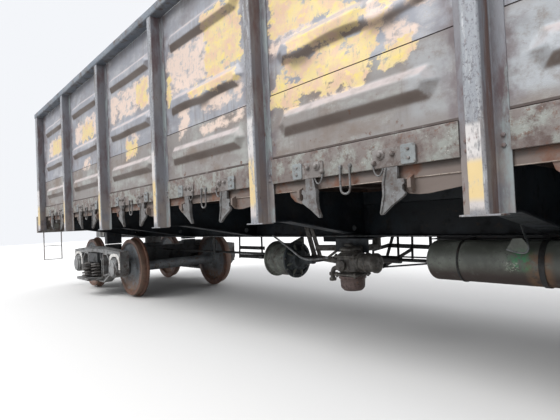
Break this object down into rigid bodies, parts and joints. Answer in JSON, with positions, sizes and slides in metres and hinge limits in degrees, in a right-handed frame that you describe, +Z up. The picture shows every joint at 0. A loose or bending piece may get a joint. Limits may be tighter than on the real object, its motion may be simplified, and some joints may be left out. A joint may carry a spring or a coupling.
{
  "type": "open gondola wagon with floor hatches",
  "caption": "Open railway gondola wagon with ribbed steel sides, drop-down floor hatches, latch claws, automatic couplers and sprung swivelling bogies.",
  "frame": {"origin": "on the ground under the wagon's middle, level with the lowest points of the wheel flanges; the rail head is 28 mm above it", "axes": "+X along the wagon, +Y across it, +Z up"},
  "size_m": [13.92, 3.15, 3.523],
  "materials": {
    "wall_sheet": "weathered paint over rusting pressed sheet",
    "body_frame": "weathered paint over rolled steel",
    "underframe": "old black paint, dust and rust",
    "hatch_steel": "rusted plate",
    "latch_steel": "worn grey paint on forgings",
    "cast_steel": "dusty cast steel",
    "spring_steel": "rusted spring steel",
    "wheel_steel": "rusted rolled steel",
    "brake_paint": "dark dusty paint"
  },
  "bodies": {
    "wagon_body": {"centre_sill": "underframe", "cross_beams": "underframe", "body_bolsters": "underframe", "centre_plates": "underframe", "end_beams": "underframe", "side_wall_left": "wall_sheet", "side_wall_right": "wall_sheet", "posts": "body_frame", "top_chords": "body_frame", "lower_chords": "body_frame", "end_wall_rear": "wall_sheet", "end_wall_front": "wall_sheet", "hatch_hinges": "underframe", "latch_claws": "latch_steel", "latch_plates": "latch_steel", "couplers": "cast_steel", "brake_cylinder": "brake_paint", "air_distributor": "brake_paint", "air_reservoir": "brake_paint", "brake_rods": "brake_paint", "brake_pipe": "brake_paint", "uncoupling_levers": "body_frame", "steps_and_ladders": "body_frame"},
    "bogie_rear": {"bogie_bolster_rear": "cast_steel", "side_frames_rear": "cast_steel", "springs_rear": "spring_steel", "axle_boxes_rear": "cast_steel", "brake_beams_rear": "cast_steel"},
    "bogie_front": {"bogie_bolster_front": "cast_steel", "side_frames_front": "cast_steel", "springs_front": "spring_steel", "axle_boxes_front": "cast_steel", "brake_beams_front": "cast_steel"},
    "wheelset_1": {"wheels_1": "wheel_steel", "axle_1": "wheel_steel"},
    "wheelset_2": {"wheels_2": "wheel_steel", "axle_2": "wheel_steel"},
    "wheelset_3": {"wheels_3": "wheel_steel", "axle_3": "wheel_steel"},
    "wheelset_4": {"wheels_4": "wheel_steel", "axle_4": "wheel_steel"},
    "hatch_left_1": {"hatch_left_1": "hatch_steel"},
    "hatch_left_2": {"hatch_left_2": "hatch_steel"},
    "hatch_left_3": {"hatch_left_3": "hatch_steel"},
    "hatch_left_4": {"hatch_left_4": "hatch_steel"},
    "hatch_left_5": {"hatch_left_5": "hatch_steel"},
    "hatch_left_6": {"hatch_left_6": "hatch_steel"},
    "hatch_left_7": {"hatch_left_7": "hatch_steel"},
    "hatch_right_1": {"hatch_right_1": "hatch_steel"},
    "hatch_right_2": {"hatch_right_2": "hatch_steel"},
    "hatch_right_3": {"hatch_right_3": "hatch_steel"},
    "hatch_right_4": {"hatch_right_4": "hatch_steel"},
    "hatch_right_5": {"hatch_right_5": "hatch_steel"},
    "hatch_right_6": {"hatch_right_6": "hatch_steel"},
    "hatch_right_7": {"hatch_right_7": "hatch_steel"}
  },
  "joints": [
    {"name": "bogie_rear_swivel", "type": "hinge", "parent": "wagon_body", "child": "bogie_rear", "pos_m": [-4.325, 0, 0.834], "axis": [0, 0, 1], "range_deg": [-4, 4]},
    {"name": "bogie_front_swivel", "type": "hinge", "parent": "wagon_body", "child": "bogie_front", "pos_m": [4.325, 0, 0.834], "axis": [0, 0, 1], "range_deg": [-4, 4]},
    {"name": "wheelset_1_spin", "type": "hinge", "parent": "bogie_rear", "child": "wheelset_1", "pos_m": [-5.25, 0, 0.488], "axis": [0, 1, 0], "continuous": true},
    {"name": "wheelset_2_spin", "type": "hinge", "parent": "bogie_rear", "child": "wheelset_2", "pos_m": [-3.4, 0, 0.488], "axis": [0, 1, 0], "continuous": true},
    {"name": "wheelset_3_spin", "type": "hinge", "parent": "bogie_front", "child": "wheelset_3", "pos_m": [3.4, 0, 0.488], "axis": [0, 1, 0], "continuous": true},
    {"name": "wheelset_4_spin", "type": "hinge", "parent": "bogie_front", "child": "wheelset_4", "pos_m": [5.25, 0, 0.488], "axis": [0, 1, 0], "continuous": true},
    {"name": "hatch_left_1_drop", "type": "hinge", "parent": "wagon_body", "child": "hatch_left_1", "pos_m": [-5.19, -0.198, 1.393], "axis": [1, 0, 0], "range_deg": [0, 31]},
    {"name": "hatch_left_2_drop", "type": "hinge", "parent": "wagon_body", "child": "hatch_left_2", "pos_m": [-3.46, -0.198, 1.393], "axis": [1, 0, 0], "range_deg": [0, 31]},
    {"name": "hatch_left_3_drop", "type": "hinge", "parent": "wagon_body", "child": "hatch_left_3", "pos_m": [-1.73, -0.198, 1.393], "axis": [1, 0, 0], "range_deg": [0, 31]},
    {"name": "hatch_left_4_drop", "type": "hinge", "parent": "wagon_body", "child": "hatch_left_4", "pos_m": [0, -0.198, 1.393], "axis": [1, 0, 0], "range_deg": [0, 31]},
    {"name": "hatch_left_5_drop", "type": "hinge", "parent": "wagon_body", "child": "hatch_left_5", "pos_m": [1.73, -0.198, 1.393], "axis": [1, 0, 0], "range_deg": [0, 31]},
    {"name": "hatch_left_6_drop", "type": "hinge", "parent": "wagon_body", "child": "hatch_left_6", "pos_m": [3.46, -0.198, 1.393], "axis": [1, 0, 0], "range_deg": [0, 31]},
    {"name": "hatch_left_7_drop", "type": "hinge", "parent": "wagon_body", "child": "hatch_left_7", "pos_m": [5.19, -0.198, 1.393], "axis": [1, 0, 0], "range_deg": [0, 31]},
    {"name": "hatch_right_1_drop", "type": "hinge", "parent": "wagon_body", "child": "hatch_right_1", "pos_m": [-5.19, 0.198, 1.393], "axis": [-1, 0, 0], "range_deg": [0, 31]},
    {"name": "hatch_right_2_drop", "type": "hinge", "parent": "wagon_body", "child": "hatch_right_2", "pos_m": [-3.46, 0.198, 1.393], "axis": [-1, 0, 0], "range_deg": [0, 31]},
    {"name": "hatch_right_3_drop", "type": "hinge", "parent": "wagon_body", "child": "hatch_right_3", "pos_m": [-1.73, 0.198, 1.393], "axis": [-1, 0, 0], "range_deg": [0, 31]},
    {"name": "hatch_right_4_drop", "type": "hinge", "parent": "wagon_body", "child": "hatch_right_4", "pos_m": [0, 0.198, 1.393], "axis": [-1, 0, 0], "range_deg": [0, 31]},
    {"name": "hatch_right_5_drop", "type": "hinge", "parent": "wagon_body", "child": "hatch_right_5", "pos_m": [1.73, 0.198, 1.393], "axis": [-1, 0, 0], "range_deg": [0, 31]},
    {"name": "hatch_right_6_drop", "type": "hinge", "parent": "wagon_body", "child": "hatch_right_6", "pos_m": [3.46, 0.198, 1.393], "axis": [-1, 0, 0], "range_deg": [0, 31]},
    {"name": "hatch_right_7_drop", "type": "hinge", "parent": "wagon_body", "child": "hatch_right_7", "pos_m": [5.19, 0.198, 1.393], "axis": [-1, 0, 0], "range_deg": [0, 31]}
  ]
}
